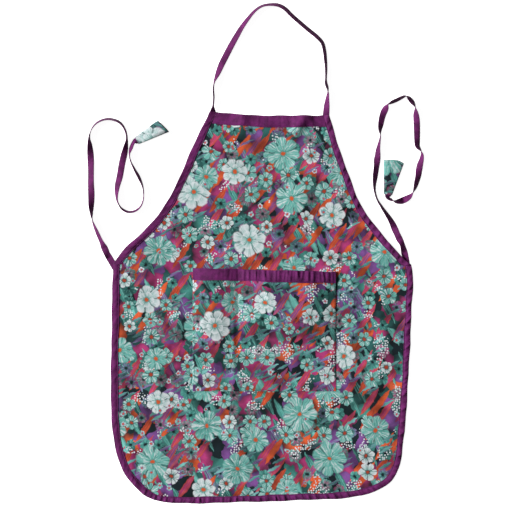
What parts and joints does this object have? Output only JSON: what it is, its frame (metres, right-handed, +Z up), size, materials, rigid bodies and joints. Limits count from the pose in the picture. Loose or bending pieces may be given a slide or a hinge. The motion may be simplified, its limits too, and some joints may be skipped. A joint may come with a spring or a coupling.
{
  "type": "bib apron",
  "caption": "Bib apron laid flat, face up: printed cotton panel with plain bound edges, a wide patch pocket, a neck strap and waist ties that end in cloth cones.",
  "frame": {"origin": "on the surface that the apron lies on, under the middle of its waist, on the flat back of the body panel", "axes": "+Z up out of the face of the apron, +Y from the waist towards the bib and the neck strap, +X to the right as seen from above"},
  "size_m": [0.7393, 1.1012, 0.0162],
  "materials": {
    "printed_cotton": "matt plain-woven cotton with an all-over floral print",
    "plain_tape": "soft matt purple cotton cut on the bias and folded"
  },
  "bodies": {
    "root": {"body_panel": "printed_cotton", "bib_band": "plain_tape", "armhole_binding_left": "plain_tape", "armhole_binding_right": "plain_tape", "skirt_binding": "plain_tape", "pocket_panel": "printed_cotton", "pocket_band": "plain_tape", "neck_strap": "plain_tape", "tie_left": "plain_tape", "tie_right": "plain_tape", "tie_cone_left": "printed_cotton", "tie_cone_right": "printed_cotton"}
  },
  "joints": []
}
